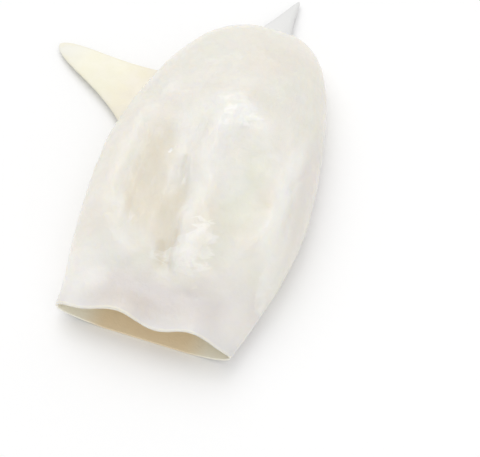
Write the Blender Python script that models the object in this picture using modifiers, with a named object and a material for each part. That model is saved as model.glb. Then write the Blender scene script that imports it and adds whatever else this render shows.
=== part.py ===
"""A cleaned raw squid tube: a hollow, collapsed mantle with an open mouth and two tail fins.

The tube lies along Y on its flat underside, with its mouth towards -Y and its closed tip
towards +Y. The fins leave it from underneath, near the tip. Z = 0 is the surface that it rests
on, and the origin is under the middle of the whole shape's box. Sizes are in metres.
"""

import math

import bmesh
import bpy

NAME = "squid_tube"

# Driving sizes of the mantle.
LENGTH = 0.140
HALF_WIDTH_LEFT = 0.0420
HALF_WIDTH_RIGHT = 0.0402
HEIGHT = 0.0245
WALL = 0.0038

# The two long folds, where the upper side turns over into the underside.
FOLD_HEIGHT = 0.0088
MOUTH_FOLD_HEIGHT = 0.0062
AXIS_BOW = 0.0010
FLAT_SINK = 0.0007

# Shape of the outline, as fractions of the length from the mouth and of the half width.
MOUTH_SHARE_LEFT = 0.784
MOUTH_SHARE_RIGHT = 0.727
WIDEST_LEFT = 0.486
WIDEST_RIGHT = 0.397
LEFT_SIDE = (HALF_WIDTH_LEFT, WIDEST_LEFT, MOUTH_SHARE_LEFT)
RIGHT_SIDE = (HALF_WIDTH_RIGHT, WIDEST_RIGHT, MOUTH_SHARE_RIGHT)
OUTLINE_TIP = (1.5, 2.9)

# Heights along the tube: the upper side sinks towards the mouth.
MOUTH_HEIGHT_SHARE = 0.56
MOUTH_SLOPE_END = 0.28
DOME_START = 0.50
DOME_TIP = (2.0, 2.5)
UNDERSIDE_START = 0.80
UNDERSIDE_TIP = (2.3, 2.5)

# Fullness of the cross-section above and below the folds.
UPPER_POWER = 2.4
LOWER_POWER = 3.6
MOUTH_LOWER_POWER = 2.2
MOUTH_LOWER_END = 0.12

# The wavy cut at the mouth.
LIP_WAVE = 0.0012
LIP_WAVE_LENGTH = 0.029
LIP_WAVE_PEAK_X = -0.0125
LIP_FLARE = {-1: 0.0022, 1: 0.0006}
LIP_FADE_POWER = 11

# Where the middle of the tube's length lies along Y.
TUBE_MIDDLE_Y = 0.0007

# Creases of the collapsed upper side, in the tube's own X and Y: the path of each one, its half
# width at the start and at the end, and its height. A hollow is negative.
CREASES = {
    "left_shoulder": (((-0.034, 0.026), (-0.0335, 0.000), (-0.031, -0.025), (-0.026, -0.050)),
                      (0.0042, 0.0044), 0.0007),
    "left_hollow": (((-0.0208, 0.023), (-0.0232, 0.004), (-0.0222, -0.011), (-0.0190, -0.027),
                     (-0.0150, -0.048)), (0.0076, 0.0056), -0.0018),
    "thin_ridge": (((-0.0125, 0.030), (-0.0130, 0.008), (-0.0130, -0.010), (-0.0125, -0.024)),
                   (0.0052, 0.0030), 0.0003),
    "between_hollow": (((-0.0125, -0.013), (-0.0120, -0.027), (-0.0092, -0.044)), (0.0030, 0.0032), -0.0007),
    "left_swell": (((-0.026, -0.034), (-0.020, -0.044), (-0.013, -0.052)), (0.0046, 0.0052), 0.0009),
    "middle_hollow": (((-0.0094, -0.003), (-0.0080, -0.017), (-0.0057, -0.030), (-0.0035, -0.043),
                       (-0.0015, -0.058)), (0.0040, 0.0047), -0.0018),
    "middle_ridge": (((0.004, 0.044), (-0.001, 0.014), (0.000, -0.006), (0.005, -0.030)),
                     (0.0066, 0.0048), 0.0015),
    "low_swell": (((0.006, -0.022), (0.009, -0.038), (0.013, -0.056)), (0.0054, 0.0068), 0.0013),
    "right_hollow": (((0.0168, 0.014), (0.0175, -0.002), (0.0158, -0.021), (0.0115, -0.050)),
                     (0.0080, 0.0075), -0.0009),
    "right_shoulder": (((0.0225, 0.036), (0.0272, 0.004), (0.0290, -0.018), (0.0280, -0.046)),
                       (0.0048, 0.0044), 0.0012),
    "mouth_crease": (((-0.036, -0.058), (0.000, -0.055), (0.036, -0.048)), (0.0046, 0.0046), -0.0004),
}

# Slow waves that shift a place sideways, so that no crease runs evenly: their length in X and in
# Y, their phase, and the shift in X and in Y.
WANDERS = (
    (0.090, 0.041, 0.6, 0.0009, 0.0012),
    (-0.035, 0.023, 2.1, 0.0006, 0.0008),
    (0.017, 0.013, 4.0, 0.0004, 0.0004),
)
CREASE_TAPER = 0.27
HOLLOW_POWER = 2.5
RIDGE_POWER = 2.0
PATH_STEPS = 5

# The sunken middle of the upper side.
SAG_CENTRE = (0.000, -0.012)
SAG_RADII = (0.027, 0.042)
SAG_DEPTH = 0.0028

# Fins: middle of the root, tip, half width of the blade, spread of the root and how fast it
# narrows, thickness at the root, sideways bow.
FIN_ROOT_Z = 0.0021
FIN_TIP_Z = 0.0016
FIN_LIFT = 0.0012
FIN_TIP_THICKNESS = 0.0012
FIN_BLADE_POWER = 3.0
FIN_EDGE_POWER = 3.0
FINS = (
    ("left_fin", (-0.0320, 0.0265), (-0.0815, 0.0435), 0.0075, 0.0125, 2.8, 0.0028, 0.0006),
    ("tail_fin", (-0.0035, 0.0540), (0.0030, 0.0955), 0.0029, 0.0165, 2.0, 0.0030, 0.0004),
)

# Mesh density.
RINGS = 34
AROUND = 50
FIN_STATIONS = 14
FIN_AROUND = 14


def smooth_step(low, high, value):
    """0 below low, 1 above high, and an S-shaped rise between them."""
    share = min(max((value - low) / (high - low), 0.0), 1.0)
    return share * share * (3.0 - 2.0 * share)


def section_point(angle, power):
    """A point on a unit superellipse, from a square-cornered (high power) to a round one (2)."""
    cosine, sine = math.cos(angle), math.sin(angle)
    reach = (abs(cosine) ** power + abs(sine) ** power) ** (-1.0 / power)
    return cosine * reach, sine * reach


def tip_rounding(share, start, powers):
    """1 up to the start of the tip, then a rounded fall to 0 at the very end."""
    long_power, round_power = powers
    into_tip = max(share - start, 0.0) / (1.0 - start)
    return max(1.0 - into_tip ** long_power, 0.0) ** (1.0 / round_power)


def half_width(share, side):
    """Half the tube's width at a share of its length, on its left (-1) or right (+1)."""
    full, widest, at_mouth = LEFT_SIDE if side < 0 else RIGHT_SIDE
    belly = math.sin(min(share / widest, 1.0) * math.pi / 2)
    spread = at_mouth + (1.0 - at_mouth) * belly
    return full * spread * tip_rounding(share, widest, OUTLINE_TIP)


def fold_height(share):
    """Height of the two long folds, which thin out towards the mouth."""
    from_mouth = smooth_step(0.0, MOUTH_SLOPE_END, share)
    return MOUTH_FOLD_HEIGHT + (FOLD_HEIGHT - MOUTH_FOLD_HEIGHT) * from_mouth


def upper_rise(share):
    """Height of the smooth upper side above the folds."""
    from_mouth = smooth_step(0.0, MOUTH_SLOPE_END, share)
    rise = MOUTH_HEIGHT_SHARE + (1.0 - MOUTH_HEIGHT_SHARE) * from_mouth
    return (HEIGHT - FOLD_HEIGHT) * rise * tip_rounding(share, DOME_START, DOME_TIP)


def lower_drop(share):
    """Depth of the underside below the folds, a little more than the fold height where flat."""
    return (fold_height(share) + FLAT_SINK) * tip_rounding(share, UNDERSIDE_START, UNDERSIDE_TIP)


def lower_power(share):
    """Fullness of the underside's corners, which are rounder at the mouth."""
    from_mouth = smooth_step(0.0, MOUTH_LOWER_END, share)
    return MOUTH_LOWER_POWER + (LOWER_POWER - MOUTH_LOWER_POWER) * from_mouth


def smooth_path(points):
    """Points along a smooth curve through a path's own points."""
    held = [points[0], *points, points[-1]]
    curve = [points[0]]
    for before, start, end, after in zip(held, held[1:], held[2:], held[3:]):
        for step in range(1, PATH_STEPS + 1):
            t = step / PATH_STEPS
            curve.append(tuple(
                b + t * (c - a) / 2 + t * t * (a - 2.5 * b + 2 * c - d / 2)
                + t ** 3 * (1.5 * b - 1.5 * c + (d - a) / 2)
                for a, b, c, d in zip(before, start, end, after)))
    return curve


def nearest_on_path(x, y, path):
    """Distance in plan from a point to a path, and the share of the path at its foot."""
    nearest, share = math.inf, 0.0
    runs = len(path) - 1
    for index, ((start_x, start_y), (end_x, end_y)) in enumerate(zip(path, path[1:])):
        along_x, along_y = end_x - start_x, end_y - start_y
        run = ((x - start_x) * along_x + (y - start_y) * along_y) / (along_x ** 2 + along_y ** 2)
        run = min(max(run, 0.0), 1.0)
        gap = math.hypot(x - start_x - run * along_x, y - start_y - run * along_y)
        if gap < nearest:
            nearest, share = gap, (index + run) / runs
    return nearest, share


CREASE_CURVES = [(smooth_path(path), widths, height) for path, widths, height in CREASES.values()]


def wandered(x, y):
    """A place shifted by the slow waves."""
    shift_x = shift_y = 0.0
    for length_x, length_y, phase, amount_x, amount_y in WANDERS:
        wave = 2 * math.pi * (x / length_x + y / length_y) + phase
        shift_x += amount_x * math.sin(wave)
        shift_y += amount_y * math.cos(wave)
    return x + shift_x, y + shift_y


def relief(x, y):
    """Height that the creases and the sunken middle add to the upper side."""
    sag_x = (x - SAG_CENTRE[0]) / SAG_RADII[0]
    sag_y = (y - SAG_CENTRE[1]) / SAG_RADII[1]
    total = -SAG_DEPTH * math.exp(-(sag_x ** 2 + sag_y ** 2))
    x, y = wandered(x, y)
    for path, (start_width, end_width), height in CREASE_CURVES:
        gap, share = nearest_on_path(x, y, path)
        width = start_width + (end_width - start_width) * share
        ends = smooth_step(0.0, CREASE_TAPER, share) * smooth_step(0.0, CREASE_TAPER, 1.0 - share)
        power = HOLLOW_POWER if height < 0 else RIDGE_POWER
        total += height * ends * math.exp(-(gap / width) ** power)
    return total


def mantle_point(share, angle):
    """A point on the outside of the mantle."""
    power = UPPER_POWER if math.sin(angle) >= 0 else lower_power(share)
    across, up = section_point(angle, power)
    side = 1 if across >= 0 else -1
    near_lip = (1.0 - share) ** LIP_FADE_POWER
    x = half_width(share, side) * across - AXIS_BOW * math.sin(math.pi * share)
    x += near_lip * LIP_FLARE[side] * across
    y = TUBE_MIDDLE_Y + (share - 0.5) * LENGTH
    wave = near_lip * LIP_WAVE * math.cos(2 * math.pi * (x - LIP_WAVE_PEAK_X) / LIP_WAVE_LENGTH)
    if up < 0:
        return x, y, max(fold_height(share) + lower_drop(share) * up, 0.0)
    swell = relief(x, y) + wave
    return x, y + wave * up, fold_height(share) + (upper_rise(share) + swell * up) * up


def close_ring(mesh, ring, next_ring):
    """Join two rings of the same number of points with a band of faces."""
    for index in range(len(ring)):
        following = (index + 1) % len(ring)
        mesh.faces.new((ring[index], ring[following], next_ring[following], next_ring[index]))


def close_end(mesh, ring, point):
    """Close a ring onto one point."""
    end = mesh.verts.new(point)
    for index in range(len(ring)):
        mesh.faces.new((ring[index], ring[(index + 1) % len(ring)], end))


def add_object(mesh, name, collection):
    """Make a smooth-shaded object from a bmesh, with its faces pointing out."""
    bmesh.ops.recalc_face_normals(mesh, faces=mesh.faces)
    data = bpy.data.meshes.new(name)
    mesh.to_mesh(data)
    mesh.free()
    data.shade_smooth()
    thing = bpy.data.objects.new(name, data)
    collection.objects.link(thing)
    return thing


def make_mantle(collection):
    """The mantle: an open bag from the mouth to the tip, thickened inwards to its wall."""
    mesh = bmesh.new()
    rings = []
    for step in range(RINGS):
        share = math.sin(step / RINGS * math.pi / 2)
        angles = [2 * math.pi * index / AROUND for index in range(AROUND)]
        rings.append([mesh.verts.new(mantle_point(share, angle)) for angle in angles])
    for ring, next_ring in zip(rings, rings[1:]):
        close_ring(mesh, ring, next_ring)
    close_end(mesh, rings[-1], mantle_point(1.0, 0.0))
    mantle = add_object(mesh, NAME, collection)
    wall = mantle.modifiers.new("wall", "SOLIDIFY")
    wall.thickness = WALL
    wall.offset = -1.0
    return mantle


def fin_half_chord(blade, flare, flare_power, share):
    """Half a fin's width: a round-tipped blade that spreads into its root."""
    return blade * math.sqrt(1.0 - share ** FIN_BLADE_POWER) + flare * (1.0 - share) ** flare_power


def fin_point(root, tip, half_chord, thickness, bow, share, angle):
    """A point on a fin at a share of the way from its root to its tip."""
    length = math.hypot(tip[0] - root[0], tip[1] - root[1])
    along = ((tip[0] - root[0]) / length, (tip[1] - root[1]) / length)
    across, up = section_point(angle, FIN_EDGE_POWER)
    sideways = half_chord * across + bow * math.sin(math.pi * share)
    x = root[0] + along[0] * length * share - along[1] * sideways
    y = root[1] + along[1] * length * share + along[0] * sideways
    middle = FIN_ROOT_Z + (FIN_TIP_Z - FIN_ROOT_Z) * share + FIN_LIFT * math.sin(math.pi * share)
    local_thickness = thickness + (FIN_TIP_THICKNESS - thickness) * share
    return x, y, middle + local_thickness / 2 * up


def make_fin(name, root, tip, blade, flare, flare_power, thickness, bow, collection):
    """One fin: a thin blade whose root ends inside the mantle's lower wall."""
    mesh = bmesh.new()
    rings = []
    for step in range(FIN_STATIONS):
        share = math.sin(step / FIN_STATIONS * math.pi / 2)
        half_chord = fin_half_chord(blade, flare, flare_power, share)
        angles = [2 * math.pi * index / FIN_AROUND for index in range(FIN_AROUND)]
        points = [fin_point(root, tip, half_chord, thickness, bow, share, angle) for angle in angles]
        rings.append([mesh.verts.new(point) for point in points])
    for ring, next_ring in zip(rings, rings[1:]):
        close_ring(mesh, ring, next_ring)
    close_end(mesh, rings[-1], (*tip, FIN_TIP_Z))
    mesh.faces.new(rings[0])
    fin = add_object(mesh, name, collection)
    fin.hide_render = True
    fin.display_type = "WIRE"
    return fin


def join(target, other):
    """Fuse another solid into the target."""
    union = target.modifiers.new(other.name, "BOOLEAN")
    union.operation = "UNION"
    union.solver = "EXACT"
    union.object = other


def centre_on_origin(mantle, fins):
    """Move the meshes so that the origin is under the middle of the whole shape's box."""
    points = [vertex.co for thing in (mantle, *fins) for vertex in thing.data.vertices]
    middle = [(min(p[axis] for p in points) + max(p[axis] for p in points)) / 2 for axis in (0, 1)]
    for thing in (mantle, *fins):
        for vertex in thing.data.vertices:
            vertex.co.x -= middle[0]
            vertex.co.y -= middle[1]


def flesh_material():
    """Wet, pale flesh."""
    material = bpy.data.materials.new("squid_flesh")
    material.use_nodes = True
    surface = material.node_tree.nodes["Principled BSDF"]
    surface.inputs["Base Color"].default_value = (0.80, 0.77, 0.69, 1.0)
    surface.inputs["Roughness"].default_value = 0.32
    surface.inputs["Metallic"].default_value = 0.0
    return material


def main():
    """Clear the scene and build the squid tube."""
    for thing in list(bpy.data.objects):
        bpy.data.objects.remove(thing, do_unlink=True)
    parts = bpy.data.collections.new(NAME)
    tools = bpy.data.collections.new(NAME + "_fins")
    bpy.context.scene.collection.children.link(parts)
    bpy.context.scene.collection.children.link(tools)
    mantle = make_mantle(parts)
    fins = [make_fin(*sizes, tools) for sizes in FINS]
    centre_on_origin(mantle, fins)
    for fin in fins:
        join(mantle, fin)
    mantle.data.materials.append(flesh_material())


main()
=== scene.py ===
"""Looks of a cleaned raw squid tube: wet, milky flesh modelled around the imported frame.

The tube is a hollow, collapsed bag with an open, wavy mouth and two thin tail fins. Its outside
is swept from a few widths and heights along its length, its upper side is pressed into soft
creases, and its skin then gets swells, wrinkles and a ragged film of membrane. The file is laid
out as an add-on and is run as a script. Sizes are in metres.
"""

import math

import bpy
import numpy as np
from bpy.props import (FloatProperty, FloatVectorProperty, IntProperty, IntVectorProperty,
                       PointerProperty)
from mathutils import Matrix, Vector


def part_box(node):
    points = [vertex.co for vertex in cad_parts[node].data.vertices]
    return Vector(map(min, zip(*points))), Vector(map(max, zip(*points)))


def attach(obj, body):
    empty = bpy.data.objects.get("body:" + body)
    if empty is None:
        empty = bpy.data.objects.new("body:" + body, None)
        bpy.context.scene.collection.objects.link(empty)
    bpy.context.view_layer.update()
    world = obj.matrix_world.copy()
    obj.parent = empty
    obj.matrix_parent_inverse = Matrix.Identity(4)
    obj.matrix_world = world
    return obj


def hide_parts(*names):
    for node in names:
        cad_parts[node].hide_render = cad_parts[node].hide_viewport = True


bl_info = {
    "name": "Squid Tube",
    "version": (1, 0, 0),
    "blender": (4, 5, 0),
    "location": "View3D > Sidebar > Squid",
    "description": "Builds the flesh of a cleaned raw squid tube around its packed frame",
    "category": "Object",
}

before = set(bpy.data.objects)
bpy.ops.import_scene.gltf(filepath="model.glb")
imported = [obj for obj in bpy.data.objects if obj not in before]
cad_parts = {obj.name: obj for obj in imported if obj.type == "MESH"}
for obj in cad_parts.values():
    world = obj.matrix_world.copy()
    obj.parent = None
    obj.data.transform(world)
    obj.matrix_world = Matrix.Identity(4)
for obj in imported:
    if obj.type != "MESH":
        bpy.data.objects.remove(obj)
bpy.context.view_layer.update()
CAD_NODE = "squid_tube"
BODY = "root"
PIECE = "squid_flesh"
BOX_LOW, BOX_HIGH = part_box(CAD_NODE)

# Where the fins' tips lie from the tube's own axis and middle: the frame's box ends at them.
LEFT_FIN_TIP = (-0.0815, 0.0435)
TAIL_FIN_TIP = (0.0030, 0.0955)
TUBE_ORIGIN = Vector((BOX_LOW.x - LEFT_FIN_TIP[0], BOX_HIGH.y - TAIL_FIN_TIP[1], 0.0))

# Outline of the tube: where it is widest and how wide its mouth is, as shares of its length and
# half width, and the powers of its rounded tip.
WIDEST = {-1: 0.486, 1: 0.397}
MOUTH_SHARE = {-1: 0.784, 1: 0.727}
OUTLINE_TIP = (1.5, 2.9)
AXIS_BOW = 0.0010
TUBE_MIDDLE_Y = 0.0007

# Heights along the tube, and the fullness of its cross-section.
MOUTH_HEIGHT_SHARE = 0.56
MOUTH_SLOPE_END = 0.28
DOME_START = 0.50
DOME_TIP = (2.0, 2.5)
UNDERSIDE_START = 0.80
UNDERSIDE_TIP = (2.3, 2.5)
UPPER_POWER = 2.4
LOWER_POWER = 3.6
MOUTH_LOWER_POWER = 2.2
MOUTH_LOWER_END = 0.12
FLAT_SINK = 0.0007

# The cut at the mouth.
LIP_WAVE_LENGTH = 0.029
LIP_WAVE_PEAK_X = -0.0125
LIP_FLARE = {-1: 0.0022, 1: 0.0006}
LIP_FADE_POWER = 11
LIP_WALL_SHARE = 0.24
LIP_WALL_FADE = 0.10
LIP_EDGE_POWER = 3.0
LIP_EDGE_DEPTH = 0.0004
LIP_ROUND_STEPS = 5

# Creases of the collapsed upper side, in the tube's own X and Y: the path of each one, its half
# width at the start and at the end, and its height. A hollow is negative.
CREASES = {
    "left_shoulder": (((-0.034, 0.026), (-0.0335, 0.000), (-0.031, -0.025), (-0.026, -0.050)),
                      (0.0042, 0.0044), 0.0007),
    "left_hollow": (((-0.0208, 0.023), (-0.0232, 0.004), (-0.0222, -0.011), (-0.0190, -0.027),
                     (-0.0150, -0.048)), (0.0076, 0.0056), -0.0018),
    "thin_ridge": (((-0.0125, 0.030), (-0.0130, 0.008), (-0.0130, -0.010), (-0.0125, -0.024)),
                   (0.0052, 0.0030), 0.0003),
    "between_hollow": (((-0.0125, -0.013), (-0.0120, -0.027), (-0.0092, -0.044)),
                       (0.0030, 0.0032), -0.0007),
    "left_swell": (((-0.026, -0.034), (-0.020, -0.044), (-0.013, -0.052)),
                   (0.0046, 0.0052), 0.0009),
    "middle_hollow": (((-0.0094, -0.003), (-0.0080, -0.017), (-0.0057, -0.030), (-0.0035, -0.043),
                       (-0.0015, -0.058)), (0.0040, 0.0047), -0.0018),
    "middle_ridge": (((0.004, 0.044), (-0.001, 0.014), (0.000, -0.006), (0.005, -0.030)),
                     (0.0066, 0.0048), 0.0015),
    "low_swell": (((0.006, -0.022), (0.009, -0.038), (0.013, -0.056)),
                  (0.0054, 0.0068), 0.0013),
    "right_hollow": (((0.0168, 0.014), (0.0175, -0.002), (0.0158, -0.021), (0.0115, -0.050)),
                     (0.0080, 0.0075), -0.0009),
    "right_shoulder": (((0.0225, 0.036), (0.0272, 0.004), (0.0290, -0.018), (0.0280, -0.046)),
                       (0.0048, 0.0044), 0.0012),
    "mouth_crease": (((-0.036, -0.058), (0.000, -0.055), (0.036, -0.048)),
                     (0.0046, 0.0046), -0.0004),
}
# Narrow folds in the skin, too fine for the frame.
FOLDS = {
    "upper_slit": (((-0.0100, -0.003), (-0.0088, -0.009), (-0.0070, -0.015)),
                   (0.0007, 0.0008), -0.0003),
    "upper_lap": (((-0.0078, -0.002), (-0.0068, -0.009), (-0.0054, -0.014)),
                  (0.0007, 0.0008), 0.0003),
    "ridge_fleck": (((-0.0158, -0.0010), (-0.0155, -0.0035), (-0.0154, -0.0060)),
                    (0.0007, 0.0007), 0.0005),
    "left_step": (((-0.0290, 0.010), (-0.0288, -0.010), (-0.0250, -0.030)),
                  (0.0013, 0.0018), -0.0005),
    "film_border": (((-0.0005, -0.025), (-0.0016, -0.037), (0.0004, -0.050)),
                    (0.0010, 0.0010), -0.0005),
    "right_step": (((0.0305, 0.020), (0.0330, -0.008), (0.0330, -0.038)),
                   (0.0012, 0.0012), -0.0009),
}
# Slow waves that shift a place sideways, so that no crease runs evenly: their length in X and in
# Y, their phase, and the shift in X and in Y.
WANDERS = (
    (0.090, 0.041, 0.6, 0.0009, 0.0012),
    (-0.035, 0.023, 2.1, 0.0006, 0.0008),
    (0.017, 0.013, 4.0, 0.0004, 0.0004),
)
CREASE_TAPER = 0.27
HOLLOW_POWER = 2.5
RIDGE_POWER = 2.0
PATH_STEPS = 5
SAG_CENTRE = (0.000, -0.012)
SAG_RADII = (0.027, 0.042)
SAG_DEPTH = 0.0028
# Height of a crease that is stored on the skin as 1, and as -1 for a hollow.
SWELL_UNIT = 0.004

# How finely a curve is followed before it is cut into equal steps, and how many of the outside's
# rings go into one step of the smoother inside.
OUTLINE_SAMPLES = 4000
SECTION_SAMPLES = 2000
INSIDE_STEP = 4

# Fins: middle of the root, tip, half width of the blade, spread of the root and how fast it
# narrows, sideways bow.
FINS = {
    "left_fin": ((-0.0320, 0.0265), LEFT_FIN_TIP, 0.0075, 0.0125, 2.8, 0.0006),
    "tail_fin": ((-0.0035, 0.0540), TAIL_FIN_TIP, 0.0029, 0.0165, 2.0, 0.0004),
}
FIN_ROOT_Z = 0.0021
FIN_TIP_Z = 0.0016
FIN_LIFT = 0.0012
FIN_BLADE_POWER = 3.0
FIN_EDGE_POWER = 3.0
FIN_STATIONS = 72
FIN_AROUND = 48
# Share of the tube's length where fins begin, and the reach that counts as a whole fin.
FIN_START = 0.4
FIN_LENGTH = 0.045


class SquidTubeSizes(bpy.types.PropertyGroup):
    """Sizes of the tube and its fins."""

    length: FloatProperty(name="Length", description="From the lip to the closed tip",
                          default=0.140, unit="LENGTH")
    half_left: FloatProperty(name="Left half width", description="From the axis to the left fold",
                             default=0.0420, unit="LENGTH")
    half_right: FloatProperty(name="Right half width", description="From the axis to the right fold",
                              default=0.0402, unit="LENGTH")
    height: FloatProperty(name="Height", description="Height of the upper side before it sags",
                          default=0.0245, unit="LENGTH")
    fold_height: FloatProperty(name="Fold height", description="Height of the two long folds",
                               default=0.0088, unit="LENGTH")
    mouth_fold: FloatProperty(name="Mouth fold height", description="Fold height at the lip",
                              default=0.0062, unit="LENGTH")
    wall: FloatProperty(name="Wall", description="Thickness of the flesh",
                        default=0.0038, unit="LENGTH")
    lip_wave: FloatProperty(name="Lip wave", description="Swing of the cut edge at the mouth",
                            default=0.0012, unit="LENGTH")
    fin_thickness: FloatProperty(name="Fin root thickness", description="Thickness at the root",
                                 default=0.0029, unit="LENGTH")
    fin_edge: FloatProperty(name="Fin tip thickness", description="Thickness at the tip",
                            default=0.0012, unit="LENGTH")
    rings: IntProperty(name="Rings", description="Steps from the lip to the tip", default=240)
    around: IntVectorProperty(name="Around",
                              description="Steps across the upper side and the underside",
                              size=2, default=(190, 82))


class SquidSkinRelief(bpy.types.PropertyGroup):
    """Heights and sizes of the unevenness of the skin."""

    swell_height: FloatProperty(name="Swell Height", description="Height of the broad unevenness",
                                default=0.0005, unit="LENGTH")
    swell_size: FloatProperty(name="Swell Size", description="Distance between swells",
                              default=0.016, unit="LENGTH")
    crease_height: FloatProperty(name="Crease Height", description="Height of the long creases",
                                 default=0.0005, unit="LENGTH")
    crease_size: FloatProperty(name="Crease Size", description="Distance between long creases",
                               default=0.0055, unit="LENGTH")
    wrinkle_height: FloatProperty(name="Wrinkle Height", description="Height of the wrinkles",
                                  default=0.00014, unit="LENGTH")
    wrinkle_size: FloatProperty(name="Wrinkle Size", description="Distance between wrinkles",
                                default=0.0032, unit="LENGTH")
    film_height: FloatProperty(name="Film Height", description="Thickness of the ragged membrane",
                               default=0.00010, unit="LENGTH")
    film_crumple: FloatProperty(name="Film Crumple", description="Height of the membrane's crumples",
                                default=0.00030, unit="LENGTH")
    film_grain: FloatProperty(name="Film Grain", description="Distance between the crumples",
                              default=0.0028, unit="LENGTH")


class SquidFleshLook(bpy.types.PropertyGroup):
    """Colours of the flesh, several of them painted light and shade."""

    milk: FloatVectorProperty(name="Flesh", description="Colour of thick flesh",
                              subtype="COLOR", size=3, default=(0.83, 0.79, 0.72))
    # Hollows: partly the thinner flesh's own tone and partly painted shade in the valleys.
    hollow: FloatVectorProperty(name="Hollows", description="Colour of thin, sunken flesh",
                                subtype="COLOR", size=3, default=(0.76, 0.70, 0.59))
    blush: FloatVectorProperty(name="Blush", description="Colour of pinker patches",
                               subtype="COLOR", size=3, default=(0.87, 0.80, 0.75))
    olive: FloatVectorProperty(name="Olive", description="Colour of greener patches",
                               subtype="COLOR", size=3, default=(0.78, 0.78, 0.68))
    # Whiter patches: partly whiter membrane and partly painted highlight and sheen on ridges, rims and
    # wet patches.
    membrane_and_sheen: FloatVectorProperty(name="Membrane", description="Colour of whiter patches",
                                  subtype="COLOR", size=3, default=(0.94, 0.90, 0.84))
    cream: FloatVectorProperty(name="Cream", description="Colour of creamier patches",
                               subtype="COLOR", size=3, default=(0.92, 0.85, 0.77))
    # Painted shade and painted sky reflection: the darker, lilac band at the mouth, also laid on the
    # right flank where it turns away from the light.
    mouth: FloatVectorProperty(name="Mouth band", description="Colour of the flesh at the mouth",
                               subtype="COLOR", size=3, default=(0.735, 0.702, 0.684))
    mouth_shade: FloatVectorProperty(name="Mouth shade",
                                     description="Colour of the mouth band's dimmer side",
                                     subtype="COLOR", size=3, default=(0.60, 0.55, 0.51))
    # Partly the cut flesh's own colour and partly a painted highlight along the lip's edge.
    cut: FloatVectorProperty(name="Cut edge", description="Colour of the cut edge at the mouth",
                             subtype="COLOR", size=3, default=(0.90, 0.84, 0.66))
    # Painted light: a warm colour standing in for light that shines through the thin wall into the
    # shaded mouth.
    inside: FloatVectorProperty(name="Inside", description="Colour of the wall's inner side",
                                subtype="COLOR", size=3, default=(0.93, 0.785, 0.55))
    # Painted light: paler inside the folds, where more light comes through.
    lit_inside_side: FloatVectorProperty(name="Inside, sides",
                                     description="Colour inside the two long folds",
                                     subtype="COLOR", size=3, default=(1.00, 0.97, 0.84))
    fin_root: FloatVectorProperty(name="Fin root", description="Colour of the left fin's root",
                                  subtype="COLOR", size=3, default=(0.88, 0.83, 0.70))
    fin: FloatVectorProperty(name="Fin", description="Colour of the thin left fin",
                             subtype="COLOR", size=3, default=(0.90, 0.87, 0.71))
    fin_tip: FloatVectorProperty(name="Fin tip", description="Colour of the left fin's tip",
                                 subtype="COLOR", size=3, default=(0.86, 0.85, 0.79))
    fin_vein: FloatVectorProperty(name="Fin veins",
                                  description="Colour of the left fin's yellower places",
                                  subtype="COLOR", size=3, default=(0.90, 0.85, 0.66))
    tail_fin: FloatVectorProperty(name="Tail fin", description="Colour of the fin at the tip",
                                  subtype="COLOR", size=3, default=(0.76, 0.76, 0.75))


class SquidStage(bpy.types.PropertyGroup):
    """Camera and lights."""

    azimuth: FloatProperty(name="Azimuth", description="Camera's turn about the tube",
                           default=math.radians(18.7), subtype="ANGLE")
    elevation: FloatProperty(name="Elevation", description="Camera's height angle",
                             default=math.radians(58.0), subtype="ANGLE")
    lens: FloatProperty(name="Lens", description="Focal length in millimetres", default=100.0,
                        unit="CAMERA")
    distance: FloatProperty(name="Distance", description="From the camera to its aim",
                            default=0.492, unit="LENGTH")
    sky: FloatProperty(name="Sky", description="Strength of the even light", default=0.65)
    key: FloatProperty(name="Key", description="Strength of the main light", default=1.02)
    fill: FloatProperty(name="Fill", description="Strength of the light on the right side",
                        default=0.36)
    glint: FloatProperty(name="Glint", description="Strength of the small light that makes wet spots",
                         default=0.05)


def smooth_step(low, high, value):
    """0 below low, 1 above high, and an S-shaped rise between them."""
    share = np.clip((value - low) / (high - low), 0.0, 1.0)
    return share * share * (3.0 - 2.0 * share)


def section_point(angle, power):
    """Points on a unit superellipse."""
    cosine, sine = np.cos(angle), np.sin(angle)
    reach = (np.abs(cosine) ** power + np.abs(sine) ** power) ** (-1.0 / power)
    return cosine * reach, sine * reach


def tip_rounding(share, start, powers):
    """1 up to the start of the tip, then a rounded fall to 0 at the very end."""
    long_power, round_power = powers
    into_tip = np.maximum(share - start, 0.0) / (1.0 - start)
    return np.maximum(1.0 - into_tip ** long_power, 0.0) ** (1.0 / round_power)


def half_width(sizes, share, side):
    """Half the tube's width on its left (-1) or right (+1)."""
    full = sizes.half_right if side > 0 else sizes.half_left
    belly = np.sin(np.minimum(share / WIDEST[side], 1.0) * math.pi / 2)
    spread = MOUTH_SHARE[side] + (1.0 - MOUTH_SHARE[side]) * belly
    return full * spread * tip_rounding(share, WIDEST[side], OUTLINE_TIP)


def smooth_path(points):
    """Points along a smooth curve through a path's own points."""
    held = [points[0], *points, points[-1]]
    curve = [points[0]]
    for before, start, end, after in zip(held, held[1:], held[2:], held[3:]):
        for step in range(1, PATH_STEPS + 1):
            t = step / PATH_STEPS
            curve.append(tuple(
                b + t * (c - a) / 2 + t * t * (a - 2.5 * b + 2 * c - d / 2)
                + t ** 3 * (1.5 * b - 1.5 * c + (d - a) / 2)
                for a, b, c, d in zip(before, start, end, after)))
    return curve


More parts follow.
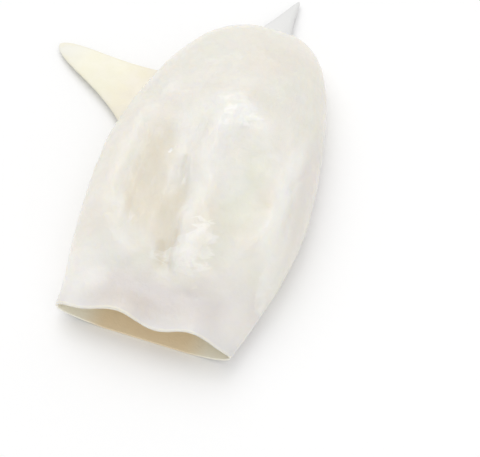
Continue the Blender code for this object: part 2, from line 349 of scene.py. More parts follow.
def nearest_on_path(x, y, path):
    """Distance in plan to a path, and the share of the path at its foot."""
    nearest = np.full(np.broadcast(x, y).shape, np.inf)
    share = np.zeros(nearest.shape)
    runs = len(path) - 1
    for index, ((start_x, start_y), (end_x, end_y)) in enumerate(zip(path, path[1:])):
        along_x, along_y = end_x - start_x, end_y - start_y
        run = ((x - start_x) * along_x + (y - start_y) * along_y) / (along_x ** 2 + along_y ** 2)
        run = np.clip(run, 0.0, 1.0)
        gap = np.hypot(x - start_x - run * along_x, y - start_y - run * along_y)
        share = np.where(gap < nearest, (index + run) / runs, share)
        nearest = np.minimum(nearest, gap)
    return nearest, share


def wandered(x, y):
    """A place shifted by the slow waves."""
    shift_x, shift_y = 0.0, 0.0
    for length_x, length_y, phase, amount_x, amount_y in WANDERS:
        wave = 2 * math.pi * (x / length_x + y / length_y) + phase
        shift_x = shift_x + amount_x * np.sin(wave)
        shift_y = shift_y + amount_y * np.cos(wave)
    return x + shift_x, y + shift_y


def pressed(x, y, creases):
    """Height that a set of creases adds to the upper side."""
    total = np.zeros(np.broadcast(x, y).shape)
    x, y = wandered(x, y)
    for path, (start_width, end_width), height in creases.values():
        gap, share = nearest_on_path(x, y, smooth_path(path))
        width = start_width + (end_width - start_width) * share
        ends = smooth_step(0.0, CREASE_TAPER, share) * smooth_step(0.0, CREASE_TAPER, 1.0 - share)
        power = HOLLOW_POWER if height < 0 else RIDGE_POWER
        total = total + height * ends * np.exp(-(gap / width) ** power)
    return total


def sagged(x, y):
    """Height that the sunken middle adds to the upper side."""
    sag_x = (x - SAG_CENTRE[0]) / SAG_RADII[0]
    sag_y = (y - SAG_CENTRE[1]) / SAG_RADII[1]
    return -SAG_DEPTH * np.exp(-(sag_x ** 2 + sag_y ** 2))


def mantle_outside(sizes, share, angle):
    """Points on the outside of the mantle, in the tube's own frame, and how hollow each is."""
    from_mouth = smooth_step(0.0, MOUTH_SLOPE_END, share)
    lower_power = MOUTH_LOWER_POWER + (LOWER_POWER - MOUTH_LOWER_POWER) * smooth_step(
        0.0, MOUTH_LOWER_END, share)
    across_up, up_up = section_point(angle, UPPER_POWER)
    across_low, up_low = section_point(angle, lower_power)
    upper = np.sin(angle) >= 0
    across = np.where(upper, across_up, across_low) + 0.0 * share
    up = np.where(upper, up_up, up_low) + 0.0 * share
    right = across >= 0
    near_lip = (1.0 - share) ** LIP_FADE_POWER
    x = np.where(right, half_width(sizes, share, 1), half_width(sizes, share, -1)) * across
    x = x - AXIS_BOW * np.sin(math.pi * share)
    x = x + near_lip * np.where(right, LIP_FLARE[1], LIP_FLARE[-1]) * across
    y = TUBE_MIDDLE_Y + (share - 0.5) * sizes.length
    wave = near_lip * sizes.lip_wave * np.cos(2 * math.pi * (x - LIP_WAVE_PEAK_X) / LIP_WAVE_LENGTH)
    fold = sizes.mouth_fold + (sizes.fold_height - sizes.mouth_fold) * from_mouth
    rise = MOUTH_HEIGHT_SHARE + (1.0 - MOUTH_HEIGHT_SHARE) * from_mouth
    rise = (sizes.height - sizes.fold_height) * rise * tip_rounding(share, DOME_START, DOME_TIP)
    drop = (fold + FLAT_SINK) * tip_rounding(share, UNDERSIDE_START, UNDERSIDE_TIP)
    swell = pressed(x, y, CREASES)
    top = fold + (rise + (swell + sagged(x, y) + pressed(x, y, FOLDS) + wave) * up) * up
    bottom = np.maximum(fold + drop * up, 0.0)
    z = np.where(up >= 0, top, bottom)
    y = y + np.where(up >= 0, wave * up, 0.0)
    return np.stack((x, y, z), axis=-1), swell * np.maximum(up, 0.0)


def even_steps(count, x, y):
    """Shares of a curve's own parameter that cut it into equal lengths, the end left out."""
    lengths = np.concatenate(([0.0], np.cumsum(np.hypot(np.diff(x), np.diff(y)))))
    return np.interp(np.arange(count) / count * lengths[-1], lengths, np.linspace(0.0, 1.0, len(x)))


def ring_shares(sizes):
    """Where the rings lie along the tube, so that they are evenly spaced over its outline."""
    share = np.linspace(0.0, 1.0, OUTLINE_SAMPLES)
    return even_steps(sizes.rings, share * sizes.length, half_width(sizes, share, -1))


def ring_angles(sizes):
    """Angles of a ring's points: evenly spaced, and closer on the upper side."""
    turn = np.linspace(0.0, math.pi, SECTION_SAMPLES)
    angles = []
    for count, power, start in zip(sizes.around, (UPPER_POWER, LOWER_POWER), (0.0, math.pi)):
        across, up = section_point(turn + start, power)
        rise = sizes.height - sizes.fold_height if start == 0.0 else sizes.fold_height
        angles.append(start + math.pi * even_steps(count, across * sizes.half_left, up * rise))
    return np.concatenate(angles)


def surface_normals(grid):
    """Outward normals of a grid of points whose second index runs round the tube."""
    around = np.roll(grid, -1, axis=1) - np.roll(grid, 1, axis=1)
    along = np.gradient(grid, axis=0)
    normal = np.cross(along, around)
    return normal / np.maximum(np.linalg.norm(normal, axis=-1, keepdims=True), 1e-12)


def ring_faces(first, second, count):
    """Faces of the band between two rings, given the index of each ring's first point."""
    here = np.arange(count)
    following = (here + 1) % count
    return np.stack((first + here, first + following, second + following, second + here), axis=-1)


def end_faces(ring, point, count):
    """Triangles that close a ring onto one point."""
    here = np.arange(count)
    following = (here + 1) % count
    return np.stack((ring + here, ring + following, np.full(count, point)), axis=-1)


def mesh_object(name, points, faces, zones):
    """A smooth-shaded object with the flesh zones stored on its points."""
    mesh = bpy.data.meshes.new(name)
    mesh.from_pydata([tuple(point) for point in points], [], faces)
    for zone, values in zones.items():
        layer = mesh.attributes.new(zone, "FLOAT", "POINT")
        layer.data.foreach_set("value", np.asarray(values, np.float32))
    mesh.shade_smooth()
    mesh.validate()
    thing = bpy.data.objects.new(name, mesh)
    bpy.context.scene.collection.objects.link(thing)
    return thing


def build_mantle(sizes):
    """The hollow mantle: outside, cut lip and inside as one closed mesh."""
    share = ring_shares(sizes)[:, None]
    angle = ring_angles(sizes)[None, :]
    rings, around = len(share), angle.shape[1]
    outside, swell = mantle_outside(sizes, share, angle)
    thinned = LIP_WALL_SHARE + (1.0 - LIP_WALL_SHARE) * smooth_step(0.0, LIP_WALL_FADE, share)
    inside = outside - surface_normals(outside) * (sizes.wall * thinned)[..., None]
    inside = inside[::INSIDE_STEP]
    middle = (outside[0] + inside[0]) / 2
    lip = []
    for step in range(1, LIP_ROUND_STEPS + 1):
        through, out = section_point(math.pi * step / (LIP_ROUND_STEPS + 1), LIP_EDGE_POWER)
        ring = middle + (outside[0] - middle) * through
        ring[:, 1] -= LIP_EDGE_DEPTH * out
        lip.append(ring)
    tip_out, _ = mantle_outside(sizes, np.array([[1.0]]), np.array([[0.0]]))
    tip_in = tip_out[0, 0] - np.array((0.0, sizes.wall, 0.0))
    sheets = [outside[::-1].reshape(-1, 3), np.concatenate(lip), inside.reshape(-1, 3)]
    points = np.concatenate(sheets + [tip_out[0], tip_in[None]])
    ring_count = rings + LIP_ROUND_STEPS + len(inside)
    faces = [ring_faces(index * around, (index + 1) * around, around)
             for index in range(ring_count - 1)]
    faces = np.concatenate(faces)[:, ::-1].tolist()
    last_ring = (ring_count - 1) * around
    faces += end_faces(0, len(points) - 2, around).tolist()
    faces += end_faces(last_ring, len(points) - 1, around)[:, ::-1].tolist()
    skin, cut = rings * around, (rings + LIP_ROUND_STEPS) * around
    hollow, inner, edge = np.zeros((3, len(points)))
    hollow[:skin] = swell[::-1].ravel() / SWELL_UNIT
    inner[cut:] = 1.0
    inner[-2] = 0.0
    above = np.tile(ring_angles(sizes) < math.pi, cut // around + 1)
    edge[skin - around:cut] = above[skin - around:cut]
    inner[skin - around:cut] = ~above[skin - around:cut]
    zones = {"swell": hollow, "inside": inner, "edge": edge}
    return mesh_object("mantle", points + np.array(TUBE_ORIGIN), faces, zones)


def build_fin(sizes, name):
    """One fin: a thin, round-tipped blade whose root ends inside the mantle's lower wall."""
    root, tip, blade, flare, flare_power, bow = FINS[name]
    share = np.sin(np.arange(FIN_STATIONS) / FIN_STATIONS * math.pi / 2)[:, None]
    angle = (2 * math.pi * np.arange(FIN_AROUND) / FIN_AROUND)[None, :]
    across, up = section_point(angle, FIN_EDGE_POWER)
    length = math.hypot(tip[0] - root[0], tip[1] - root[1])
    along = ((tip[0] - root[0]) / length, (tip[1] - root[1]) / length)
    half_chord = blade * np.sqrt(1.0 - share ** FIN_BLADE_POWER)
    half_chord = half_chord + flare * (1.0 - share) ** flare_power
    sideways = half_chord * across + bow * np.sin(math.pi * share)
    x = root[0] + along[0] * length * share - along[1] * sideways
    y = root[1] + along[1] * length * share + along[0] * sideways
    middle = FIN_ROOT_Z + (FIN_TIP_Z - FIN_ROOT_Z) * share + FIN_LIFT * np.sin(math.pi * share)
    thickness = sizes.fin_thickness + (sizes.fin_edge - sizes.fin_thickness) * share
    z = middle + thickness / 2 * up
    points = np.stack((x, y, z), axis=-1).reshape(-1, 3)
    points = np.concatenate((points, [(*tip, FIN_TIP_Z)]))
    faces = [ring_faces(index * FIN_AROUND, (index + 1) * FIN_AROUND, FIN_AROUND)
             for index in range(FIN_STATIONS - 1)]
    faces = np.concatenate(faces).tolist()
    faces += end_faces((FIN_STATIONS - 1) * FIN_AROUND, len(points) - 1, FIN_AROUND).tolist()
    faces.append(list(range(FIN_AROUND))[::-1])
    return mesh_object(name, points + np.array(TUBE_ORIGIN), faces, {})


def mark_fins(sizes, thing):
    """Store on the fused flesh how far out each point lies on a fin, from 0 at the mantle."""
    points = np.zeros(len(thing.data.vertices) * 3)
    thing.data.vertices.foreach_get("co", points)
    points = points.reshape(-1, 3) - np.array(TUBE_ORIGIN)
    share = (points[:, 1] - TUBE_MIDDLE_Y) / sizes.length + 0.5
    held = np.clip(share, 0.0, 1.0)
    x = points[:, 0] + AXIS_BOW * np.sin(math.pi * held)
    half = np.where(x >= 0, half_width(sizes, held, 1), half_width(sizes, held, -1))
    beyond = np.where(share > 1.0, (share - 1.0) * sizes.length, np.abs(x) - half)
    beyond = np.where(share > FIN_START, beyond, 0.0)
    layer = thing.data.attributes.new("fin", "FLOAT", "POINT")
    layer.data.foreach_set("value", np.clip(beyond / FIN_LENGTH, 0.0, 1.0).astype(np.float32))


class Nodes:
    """Adds nodes to a tree and links them: an input takes a value or another node's output."""

    def __init__(self, tree):
        self.tree = tree

    def add(self, kind, inputs=(), **settings):
        """A node of a kind, with its settings and inputs."""
        node = self.tree.nodes.new(kind)
        for name, value in settings.items():
            setattr(node, name, value)
        for name, value in dict(inputs).items():
            if isinstance(value, bpy.types.NodeSocket):
                self.tree.links.new(value, node.inputs[name])
            else:
                node.inputs[name].default_value = value
        return node

    def maths(self, operation, first, second=0.0):
        """A number worked out from two others."""
        return self.add("ShaderNodeMath", {0: first, 1: second}, operation=operation).outputs[0]

    def vector(self, operation, first, second=(0.0, 0.0, 0.0)):
        """A vector worked out from two others."""
        return self.add("ShaderNodeVectorMath", {0: first, 1: second}, operation=operation).outputs[0]

    def fade(self, value, low, high, top=1.0):
        """0 at low and the top value at high, with a soft start and end."""
        settings = {"Value": value, "From Min": low, "From Max": high, "To Min": 0.0, "To Max": top}
        return self.add("ShaderNodeMapRange", settings, interpolation_type="SMOOTHSTEP").outputs[0]

    def noise(self, place, size, detail=2.0, roughness=0.5, warp=0.0):
        """Cloudy noise whose features are about a size in metres."""
        linked = isinstance(size, bpy.types.NodeSocket)
        scale = self.maths("DIVIDE", 1.0, size) if linked else 1.0 / size
        settings = {"Vector": place, "Scale": scale, "Detail": detail, "Roughness": roughness,
                    "Distortion": warp}
        return self.add("ShaderNodeTexNoise", settings).outputs[0]

    def near(self, place, centre, radii):
        """Distance from a centre, in shares of three radii."""
        offset = self.vector("SUBTRACT", place, centre)
        offset = self.vector("DIVIDE", offset, radii)
        return self.add("ShaderNodeVectorMath", {0: offset}, operation="LENGTH").outputs["Value"]

    def blend(self, share, first, second):
        """A colour between two, by a share."""
        node = self.add("ShaderNodeMix", data_type="RGBA")
        sockets = (node.inputs[0], node.inputs[6], node.inputs[7])
        for socket, value in zip(sockets, (share, first, second)):
            if isinstance(value, bpy.types.NodeSocket):
                self.tree.links.new(value, socket)
            elif socket.type == "RGBA":
                socket.default_value = (*value, 1.0)
            else:
                socket.default_value = value
        return node.outputs[2]


SKIN_INPUTS = ("Swell Height", "Swell Size", "Crease Height", "Crease Size", "Wrinkle Height",
               "Wrinkle Size", "Film Height", "Film Crumple", "Film Grain")
# The long creases: centre and radii of the place where they lie, in the tube's own frame, the
# shares of the radii where they start and show in full, and the stretch of their pattern, which
# makes them run along the tube.
CREASED_MIDDLE = ((-0.012, -0.010, 0.020), (0.021, 0.044, 1.0))
CREASED_BORDER = (1.15, 0.45)
LONG_WAY = (1.0, 0.24, 0.5)
# Z of the skin's normal at which creases and film start to show and show in full, and the heights
# over which all relief fades in, so that the underside stays flat.
UPPER_FACING = (0.5, 0.9)
RELIEF_HEIGHTS = (0.0015, 0.0070)

# The wet, ragged film: centre, radii and amount of each patch in the tube's own frame. Three patterns
# fray its borders, each with its size and its swing in shares of a patch's radius. In the colour the
# film is partly whiter membrane and partly a painted highlight, and the last three small patches are
# painted glints.
FILM_PATCHES = (
    ((0.0068, -0.0402, 0.020), (0.0068, 0.0082, 1.0), 0.8),
    ((0.0045, -0.0452, 0.019), (0.0092, 0.0036, 1.0), 0.8),
    ((0.0035, 0.0205, 0.022), (0.0070, 0.0054, 1.0), 0.8),
    ((0.0332, -0.0430, 0.012), (0.0015, 0.0085, 1.0), 0.8),
    ((-0.0155, -0.0040, 0.020), (0.0007, 0.0014, 1.0), 1.0),
    ((-0.0068, -0.0130, 0.020), (0.0004, 0.0026, 1.0), 0.6),
)
SHARD_STRETCH = (0.62, 1.0, 0.6)
SHARD_SIZE, SHARD_SWING = 0.0030, 0.9
CLOUD_SIZE, CLOUD_SWING = 0.0050, 1.3
STREAK_SIZE, STREAK_SWING = 0.0013, 1.5
STREAK_ANGLE = math.radians(-42)
STREAK_STRETCH = (0.24, 1.0, 0.3)
RELIEF_SOFTNESS = 0.12
COLOUR_SOFTNESS = 0.16


def film_mask(nodes, place, softness):
    """Where the wet, ragged membrane lies, which flesh_colour also whitens as a painted highlight:
    patches whose borders follow angular shards.

    The place is in the tube's own frame.
    """
    place = nodes.vector("MULTIPLY", place, SHARD_STRETCH)
    cells = nodes.add("ShaderNodeTexVoronoi", {"Vector": place, "Scale": 1.0 / SHARD_SIZE})
    shard = nodes.add("ShaderNodeSeparateXYZ", {"Vector": cells.outputs["Color"]}).outputs["X"]
    cloud = nodes.noise(place, CLOUD_SIZE, 3.0, 0.6, 0.5)
    turned = nodes.add("ShaderNodeVectorRotate", {"Vector": place, "Angle": STREAK_ANGLE}).outputs[0]
    streak = nodes.noise(nodes.vector("MULTIPLY", turned, STREAK_STRETCH), STREAK_SIZE, 2.0, 0.5)
    ragged = 0.0
    for pattern, swing in ((shard, SHARD_SWING), (cloud, CLOUD_SWING), (streak, STREAK_SWING)):
        swung = nodes.maths("MULTIPLY", nodes.maths("SUBTRACT", pattern, 0.5), swing)
        ragged = nodes.maths("ADD", swung, ragged)
    mask = None
    for centre, radii, amount in FILM_PATCHES:
        centre = [part * stretch for part, stretch in zip(centre, SHARD_STRETCH)]
        radii = [part * stretch for part, stretch in zip(radii, SHARD_STRETCH)]
        gap = nodes.maths("ADD", nodes.near(place, centre, radii), ragged)
        patch = nodes.fade(gap, 1.0 + softness, 1.0 - softness, amount)
        mask = nodes.maths("MAXIMUM", mask, patch) if mask else patch
    return mask


def skin_tree():
    """Geometry nodes that swell and wrinkle the skin and lay the ragged membrane on it."""
    tree = bpy.data.node_groups.new("squid_skin", "GeometryNodeTree")
    face = tree.interface
    face.new_socket("Geometry", in_out="INPUT", socket_type="NodeSocketGeometry")
    for name in SKIN_INPUTS:
        face.new_socket(name, in_out="INPUT", socket_type="NodeSocketFloat")
    face.new_socket("Material", in_out="INPUT", socket_type="NodeSocketMaterial")
    face.new_socket("Geometry", in_out="OUTPUT", socket_type="NodeSocketGeometry")
    nodes = Nodes(tree)
    start = nodes.add("NodeGroupInput").outputs
    place = nodes.vector("SUBTRACT", nodes.add("GeometryNodeInputPosition").outputs[0], TUBE_ORIGIN)
    normal = nodes.add("GeometryNodeInputNormal").outputs[0]
    height = nodes.add("ShaderNodeSeparateXYZ", {"Vector": place}).outputs["Z"]
    facing = nodes.add("ShaderNodeSeparateXYZ", {"Vector": normal}).outputs["Z"]
    creased = nodes.fade(nodes.near(place, *CREASED_MIDDLE), *CREASED_BORDER)
    creased = nodes.maths("MULTIPLY", creased, nodes.fade(facing, *UPPER_FACING))
    long_way = nodes.vector("MULTIPLY", place, LONG_WAY)
    film = nodes.maths("MULTIPLY", film_mask(nodes, place, RELIEF_SOFTNESS),
                       nodes.fade(facing, *UPPER_FACING))
    crumple = nodes.noise(place, start["Film Grain"], 2.0, 0.6, 1.0)
    pushes = (
        (nodes.noise(place, start["Swell Size"], 1.0), start["Swell Height"], None),
        (nodes.noise(long_way, start["Crease Size"], 1.5, 0.5, 0.4), start["Crease Height"], creased),
        (nodes.noise(place, start["Wrinkle Size"], 2.0), start["Wrinkle Height"], None),
        (crumple, start["Film Crumple"], film),
    )
    total = nodes.maths("MULTIPLY", film, nodes.maths("MULTIPLY", start["Film Height"], 0.5))
    for cloud, amount, share in pushes:
        push = nodes.maths("MULTIPLY", nodes.maths("SUBTRACT", cloud, 0.5), amount)
        total = nodes.maths("ADD", total, nodes.maths("MULTIPLY", push, share) if share else push)
    total = nodes.maths("MULTIPLY", nodes.maths("MULTIPLY", total, 2.0),
                        nodes.fade(height, *RELIEF_HEIGHTS))
    offset = nodes.add("ShaderNodeVectorMath", {0: normal, "Scale": total}, operation="SCALE")
    moved = nodes.add("GeometryNodeSetPosition",
                      {"Geometry": start["Geometry"], "Offset": offset.outputs[0]})
    real = nodes.add("GeometryNodeRealizeInstances", {"Geometry": moved.outputs[0]})
    finish = nodes.add("GeometryNodeSetMaterial",
                       {"Geometry": real.outputs[0], "Material": start["Material"]})
    nodes.add("NodeGroupOutput", {"Geometry": finish.outputs[0]})
    return tree


def set_inputs(modifier, values):
    """Set a geometry nodes modifier's inputs by their identifiers."""
    for item in modifier.node_group.interface.items_tree:
        if item.item_type == "SOCKET" and item.in_out == "INPUT" and item.name in values:
            modifier[item.identifier] = values[item.name]


def settled(thing, name):
    """Replace an object with a plain mesh of what its modifiers make."""
    bpy.context.view_layer.update()
    shape = thing.evaluated_get(bpy.context.evaluated_depsgraph_get())
    mesh = bpy.data.meshes.new_from_object(shape)
    mesh.name = name
    fresh = bpy.data.objects.new(name, mesh)
    bpy.context.scene.collection.objects.link(fresh)
    bpy.data.objects.remove(thing)
    return fresh


# Sizes of the cloudy patterns that vary the colour, and how far from the others the drift is read.
HAZE_SIZE = 0.020
MOTTLE_SIZE = 0.007
DRIFT_SIZE = 0.018
DRIFT_SHIFT = (0.3, 0.0, 0.0)
# The stored swell at which the hollows' colour, partly the thin flesh's tone and partly painted shade,
# starts and is full.
HOLLOW_SWELL = (-0.06, -0.42)
# The band at the mouth, painted shade and a painted lilac reflection of the sky on the front that
# slopes down to the lip: how much its border slants across the tube and wavers, and where along the
# tube it starts and is full.
BAND_SLANT = 0.14
BAND_WAVER = 0.006
BAND_START, BAND_FULL = -0.0435, -0.0560
# Shares of a fin's reach over which flesh turns into fin, the root's colour into the blade's and
# the blade's into the tip's, and where across the tube the left fin's colours take over.
FIN_JOIN = (0.0, 0.12)
FIN_BLADE = (0.12, 0.45)
FIN_END = (0.62, 1.0)
LEFT_SIDE = (-0.022, -0.042)
# Middle of the mouth, and the distances from it between which the inside pales, a painted light that
# comes through the thin walls near the folds.
INSIDE_MIDDLE = -0.003
INSIDE_SIDES = (0.014, 0.025)
# Patches of colour: centre and radii in the tube's own frame, colour and amount. Each one starts and
# is full at the border's shares of its radii. Most are painted light: the whiter patches are painted
# highlights and sheen on ridges, rims and corners, the hollow-coloured patches add painted shade in
# the valleys, and the mouth-band and mouth-shade patches are painted shade where the skin turns away
# from the light.
TINT_BORDER = (1.1, 0.3)
TINTS = (
    (((0.0000, -0.0030, 0.020), (0.0075, 0.0330, 1.0)), "membrane_and_sheen", 0.40),
    (((-0.0010, 0.0200, 0.022), (0.0140, 0.0110, 1.0)), "membrane_and_sheen", 0.50),
    (((-0.0300, -0.0560, 0.010), (0.0130, 0.0150, 1.0)), "membrane_and_sheen", 0.80),
    (((0.0300, -0.0600, 0.008), (0.0100, 0.0110, 1.0)), "membrane_and_sheen", 0.45),
    (((-0.0120, 0.0080, 0.020), (0.0050, 0.0180, 1.0)), "membrane_and_sheen", 0.35),
    (((-0.0160, -0.0500, 0.016), (0.0120, 0.0070, 1.0)), "membrane_and_sheen", 0.40),
    (((0.0292, -0.0100, 0.016), (0.0046, 0.0370, 1.0)), "membrane_and_sheen", 0.80),
    (((0.0335, -0.0330, 0.012), (0.0042, 0.0220, 1.0)), "membrane_and_sheen", 0.60),
    (((0.0130, 0.0120, 0.020), (0.0070, 0.0090, 1.0)), "membrane_and_sheen", 0.50),
    (((0.0160, -0.0500, 0.016), (0.0100, 0.0060, 1.0)), "membrane_and_sheen", 0.30),
    (((-0.0345, -0.0190, 0.014), (0.0065, 0.0440, 1.0)), "cream", 0.50),
    (((0.0060, 0.0500, 0.016), (0.0150, 0.0120, 1.0)), "hollow", 0.25),
    (((-0.0160, -0.0110, 0.020), (0.0042, 0.0150, 1.0)), "hollow", 0.60),
    (((-0.0065, -0.0265, 0.018), (0.0045, 0.0120, 1.0)), "hollow", 0.85),
    (((0.0125, -0.0260, 0.018), (0.0060, 0.0100, 1.0)), "hollow", 0.40),
    (((0.0155, -0.0140, 0.018), (0.0090, 0.0320, 1.0)), "olive", 0.60),
    (((-0.0300, -0.0420, 0.014), (0.0080, 0.0100, 1.0)), "cream", 0.40),
    (((-0.0100, -0.0150, 0.020), (0.0034, 0.0090, 1.0)), "membrane_and_sheen", 0.45),
    (((-0.0240, 0.0090, 0.018), (0.0060, 0.0080, 1.0)), "cream", 0.40),
    (((0.0058, -0.0262, 0.018), (0.0050, 0.0075, 1.0)), "hollow", 0.45),
    (((0.0105, -0.0100, 0.020), (0.0055, 0.0110, 1.0)), "membrane_and_sheen", 0.40),
    (((0.0235, -0.0200, 0.016), (0.0045, 0.0110, 1.0)), "olive", 0.35),
    (((0.0014, 0.0120, 0.022), (0.0060, 0.0065, 1.0)), "membrane_and_sheen", 0.45),
    (((0.0225, -0.0410, 0.016), (0.0075, 0.0070, 1.0)), "membrane_and_sheen", 0.40),
    (((-0.0225, -0.0450, 0.016), (0.0080, 0.0060, 1.0)), "membrane_and_sheen", 0.40),
    (((0.0015, -0.0515, 0.015), (0.0110, 0.0045, 1.0)), "membrane_and_sheen", 0.45),
    (((-0.0110, -0.0655, 0.011), (0.0170, 0.0075, 1.0)), "mouth_shade", 0.45),
    (((0.0255, -0.0500, 0.012), (0.0080, 0.0080, 1.0)), "membrane_and_sheen", 0.35),
    (((0.0355, 0.0060, 0.014), (0.0053, 0.0420, 1.0)), "mouth", 0.45),
    (((0.0240, -0.0150, 0.018), (0.0055, 0.0100, 1.0)), "hollow", 0.40),
    (((0.0203, -0.0294, 0.018), (0.0080, 0.0050, 1.0)), "hollow", 0.30),
)


def flesh_colour(nodes, look, place, zones):
    """Colour of the flesh: milky, warmer and darker where it is sunken (partly painted shade), whiter
    under membrane and painted highlights, with a painted-shade band at the mouth, painted light
    inside, and thin fins.
    """
    across, reach, _ = nodes.add("ShaderNodeSeparateXYZ", {"Vector": place}).outputs
    haze = nodes.noise(place, HAZE_SIZE, 2.0, 0.55)
    mottle = nodes.noise(place, MOTTLE_SIZE, 2.0, 0.5)
    drift = nodes.noise(nodes.vector("ADD", place, DRIFT_SHIFT), DRIFT_SIZE, 1.5, 0.5)
    # Hollows: a warmer, darker colour in sunken places, partly the thin flesh's tone and partly
    # painted shade.
    hollow = nodes.maths("MULTIPLY", nodes.fade(zones["swell"], *HOLLOW_SWELL),
                         nodes.fade(haze, 0.05, 0.62))
    # Painted shade and painted sky reflection: a darker, lilac band on the front, which slopes down to
    # the lip.
    mouth_line = nodes.maths("SUBTRACT", reach, nodes.maths("MULTIPLY", across, BAND_SLANT))
    mouth_line = nodes.maths("ADD", mouth_line, nodes.maths("MULTIPLY", haze, BAND_WAVER))
    mouth_band_shade = nodes.fade(mouth_line, BAND_START, BAND_FULL)
    colour = nodes.blend(nodes.fade(drift, 0.48, 0.72, 0.40), look.milk, look.blush)
    colour = nodes.blend(nodes.fade(drift, 0.50, 0.28, 0.35), colour, look.olive)
    colour = nodes.blend(nodes.fade(mottle, 0.45, 0.75, 0.12), colour, look.membrane_and_sheen)
    colour = nodes.blend(hollow, colour, look.hollow)
    colour = nodes.blend(mouth_band_shade, colour, look.mouth)
    # Patches at given places, mostly painted highlight and painted shade.
    for patch, name, amount in TINTS:
        share = nodes.fade(nodes.near(place, *patch), *TINT_BORDER, amount)
        colour = nodes.blend(share, colour, getattr(look, name))
    # Painted highlight: the film patches whiten the colour, partly as membrane and partly as the wet
    # sheen of the lamps.
    film = nodes.maths("MULTIPLY", zones["film"], nodes.fade(mottle, 0.2, 0.6, 0.9))
    colour = nodes.blend(film, colour, look.membrane_and_sheen)
    thin = nodes.blend(nodes.fade(zones["fin"], *FIN_BLADE), look.fin_root, look.fin)
    thin = nodes.blend(nodes.fade(zones["fin"], *FIN_END, 0.8), thin, look.fin_tip)
    thin = nodes.blend(nodes.fade(mottle, 0.50, 0.68, 0.20), thin, look.membrane_and_sheen)
    thin = nodes.blend(nodes.fade(mottle, 0.48, 0.32, 0.45), thin, look.fin_vein)
    thin = nodes.blend(nodes.fade(across, *LEFT_SIDE), look.tail_fin, thin)
    colour = nodes.blend(nodes.fade(zones["fin"], *FIN_JOIN), colour, thin)
    # Painted light: the inside is warm, as light coming through the thin wall, and paler towards the
    # folds.
    from_middle = nodes.maths("ABSOLUTE", nodes.maths("SUBTRACT", across, INSIDE_MIDDLE))
    inner = nodes.blend(nodes.fade(from_middle, *INSIDE_SIDES), look.inside, look.lit_inside_side)
    colour = nodes.blend(zones["inside"], colour, inner)
    # The cut edge, partly its own colour and partly a painted highlight along the lip.
    return nodes.blend(nodes.maths("MULTIPLY", zones["edge"], 0.5), colour, look.cut)


# Finish of the flesh: size of the wetter places and how wet the skin is there, roughness where it
# is dry and how much wetness takes away, the fine grain, and how much light enters thick flesh.
WET_SIZE = 0.008
WET_SKIN = 0.65
DRY_ROUGHNESS = 0.45
WET_SMOOTHING = 0.15
GRAIN_SIZE = 0.0020
GRAIN_HEIGHT = 0.0004
MILKINESS = 0.8


def flesh_material(look):
    """Wet, milky flesh that is slightly translucent where it is thick."""
    material = bpy.data.materials.new("squid_flesh")
    material.use_nodes = True
    nodes = Nodes(material.node_tree)
    links = material.node_tree.links
    surface = material.node_tree.nodes["Principled BSDF"]
    place = nodes.vector("SUBTRACT", nodes.add("ShaderNodeTexCoord").outputs["Object"], TUBE_ORIGIN)
    zones = {name: nodes.add("ShaderNodeAttribute", attribute_name=name).outputs["Fac"]
             for name in ("swell", "inside", "edge", "fin")}
    outer = nodes.maths("SUBTRACT", 1.0, zones["inside"])
    zones["film"] = nodes.maths("MULTIPLY", film_mask(nodes, place, COLOUR_SOFTNESS), outer)
    patchy = nodes.fade(nodes.noise(place, WET_SIZE, 3.0, 0.6), 0.35, 0.7)
    wet = nodes.maths("MAXIMUM", zones["film"], nodes.maths("MULTIPLY", patchy, WET_SKIN))
    rough = nodes.maths("SUBTRACT", DRY_ROUGHNESS, nodes.maths("MULTIPLY", wet, WET_SMOOTHING))
    bumps = nodes.noise(place, GRAIN_SIZE, 3.0, 0.55, 0.6)
    bump = nodes.add("ShaderNodeBump", {"Height": bumps, "Strength": 0.30, "Distance": GRAIN_HEIGHT})
    links.new(flesh_colour(nodes, look, place, zones), surface.inputs["Base Color"])
    links.new(rough, surface.inputs["Roughness"])
    links.new(wet, surface.inputs["Coat Weight"])
    links.new(bump.outputs[0], surface.inputs["Normal"])
    thin = nodes.maths("MAXIMUM", zones["inside"], nodes.fade(zones["fin"], *FIN_JOIN))
    links.new(nodes.fade(thin, 1.0, 0.0, MILKINESS), surface.inputs["Subsurface Weight"])
    surface.inputs["Subsurface Radius"].default_value = (1.0, 0.85, 0.6)
    surface.inputs["Subsurface Scale"].default_value = 0.006
    surface.inputs["IOR"].default_value = 1.4
    surface.inputs["Coat Roughness"].default_value = 0.13
    return material


# Lamps: azimuth and elevation of each one, and the angle that it spans, in degrees.
LAMPS = {"key": (-140, 55, 62), "fill": (75, 48, 70), "glint": (-161, 58, 9)}
FLOOR_REACH = 3.0
# What the camera looks at, from the tube's own axis and middle.
AIM_OFFSET = Vector((0.0147, -0.0150, 0.0))
NEAR_CLIP = 0.01


def from_around(azimuth, elevation):
    """Direction from the tube towards an azimuth and elevation."""
    level = math.cos(elevation)
    return Vector((math.sin(azimuth) * level, -math.cos(azimuth) * level, math.sin(elevation)))


def point_at(thing, place, target):
    """Turn a lamp or camera at a place so that it looks at a target."""
    gaze = (Vector(target) - Vector(place)).normalized()
    thing.matrix_world = Matrix.Translation(place) @ gaze.to_track_quat("-Z", "Y").to_matrix().to_4x4()


def add_lamp(name, azimuth, elevation, spread, strength):
    """A distant light as wide as a soft box, given by the angle that it spans."""
    light = bpy.data.lights.new(name, "SUN")
    light.angle = math.radians(spread)
    light.energy = strength
    lamp = bpy.data.objects.new(name, light)
    bpy.context.scene.collection.objects.link(lamp)
    point_at(lamp, from_around(math.radians(azimuth), math.radians(elevation)), (0.0, 0.0, 0.0))


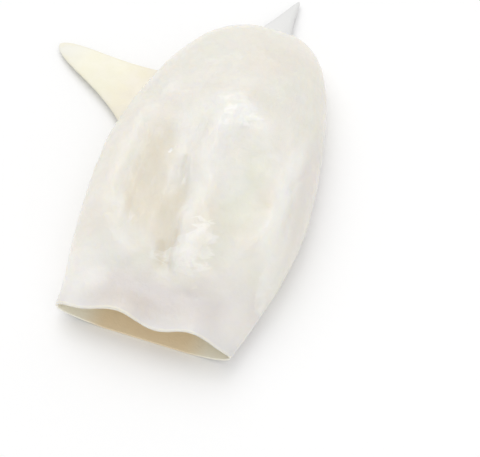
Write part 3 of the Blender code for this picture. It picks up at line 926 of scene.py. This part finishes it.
def add_floor():
    """A plain pale floor."""
    corners = [(x * FLOOR_REACH, y * FLOOR_REACH, 0) for x, y in ((-1, -1), (1, -1), (1, 1), (-1, 1))]
    mesh = bpy.data.meshes.new("floor")
    mesh.from_pydata(corners, [], [(0, 1, 2, 3)])
    paint = bpy.data.materials.new("floor_paint")
    paint.use_nodes = True
    surface = paint.node_tree.nodes["Principled BSDF"]
    surface.inputs["Base Color"].default_value = (0.99, 0.99, 0.99, 1.0)
    surface.inputs["Roughness"].default_value = 0.9
    surface.inputs["Specular IOR Level"].default_value = 0.1
    mesh.materials.append(paint)
    floor = bpy.data.objects.new("floor", mesh)
    bpy.context.scene.collection.objects.link(floor)


class SQUID_OT_flesh(bpy.types.Operator):
    """Build the mantle and its fins, fuse them, wrinkle the skin and give it its finish"""

    bl_idname = "squid.flesh"
    bl_label = "Flesh"

    def execute(self, context):
        sizes, relief_of_skin = context.scene.squid_sizes, context.scene.squid_relief
        mantle = build_mantle(sizes)
        fins = [build_fin(sizes, name) for name in FINS]
        for fin in fins:
            union = mantle.modifiers.new(fin.name, "BOOLEAN")
            union.operation = "UNION"
            union.solver = "EXACT"
            union.object = fin
        fused = settled(mantle, "fused_flesh")
        mark_fins(sizes, fused)
        for fin in fins:
            bpy.data.objects.remove(fin)
        skin = fused.modifiers.new("skin", "NODES")
        skin.node_group = skin_tree()
        values = {name: getattr(relief_of_skin, name.lower().replace(" ", "_"))
                  for name in SKIN_INPUTS}
        set_inputs(skin, {**values, "Material": flesh_material(context.scene.squid_look)})
        flesh = settled(fused, PIECE)
        flesh.data.shade_smooth()
        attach(flesh, BODY)
        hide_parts(CAD_NODE)
        return {"FINISHED"}


class SQUID_OT_stage(bpy.types.Operator):
    """Lay a plain pale floor under soft studio light and set the camera"""

    bl_idname = "squid.stage"
    bl_label = "Stage"

    def execute(self, context):
        stage = context.scene.squid_stage
        add_floor()
        world = bpy.data.worlds.new("even_light")
        world.use_nodes = True
        sky = world.node_tree.nodes["Background"]
        sky.inputs["Color"].default_value = (1.0, 1.0, 1.0, 1.0)
        sky.inputs["Strength"].default_value = stage.sky
        context.scene.world = world
        for name, (azimuth, elevation, spread) in LAMPS.items():
            add_lamp(name, azimuth, elevation, spread, getattr(stage, name))
        aim = TUBE_ORIGIN + AIM_OFFSET
        camera = bpy.data.objects.new("camera", bpy.data.cameras.new("camera"))
        context.scene.collection.objects.link(camera)
        camera.data.lens = stage.lens
        camera.data.clip_start = NEAR_CLIP
        point_at(camera, aim + from_around(stage.azimuth, stage.elevation) * stage.distance, aim)
        context.scene.camera = camera
        context.scene.view_settings.view_transform = "Standard"
        return {"FINISHED"}


class SQUID_PT_panel(bpy.types.Panel):
    """Lists the pieces and their sizes"""

    bl_label = "Squid Tube"
    bl_idname = "SQUID_PT_panel"
    bl_space_type = "VIEW_3D"
    bl_region_type = "UI"
    bl_category = "Squid"

    def draw(self, context):
        for title, group, operator in PANEL_ROWS:
            box = self.layout.box()
            box.label(text=title)
            settings = getattr(context.scene, group)
            for name in type(settings).__annotations__:
                box.prop(settings, name)
            if operator:
                box.operator(operator)


PANEL_ROWS = (
    ("Sizes", "squid_sizes", None),
    ("Skin", "squid_relief", None),
    ("Flesh", "squid_look", "squid.flesh"),
    ("Stage", "squid_stage", "squid.stage"),
)
GROUPS = {"squid_sizes": SquidTubeSizes, "squid_relief": SquidSkinRelief,
          "squid_look": SquidFleshLook, "squid_stage": SquidStage}
CLASSES = (*GROUPS.values(), SQUID_OT_flesh, SQUID_OT_stage, SQUID_PT_panel)


def register():
    """Make the classes and the scene's settings known to Blender."""
    for item in CLASSES:
        bpy.utils.register_class(item)
    for name, group in GROUPS.items():
        setattr(bpy.types.Scene, name, PointerProperty(type=group))


def unregister():
    """Undo register."""
    for name in GROUPS:
        delattr(bpy.types.Scene, name)
    for item in reversed(CLASSES):
        bpy.utils.unregister_class(item)


def main():
    """Build every piece."""
    register()
    bpy.ops.squid.flesh()
    bpy.ops.squid.stage()


if __name__ == "__main__":
    main()
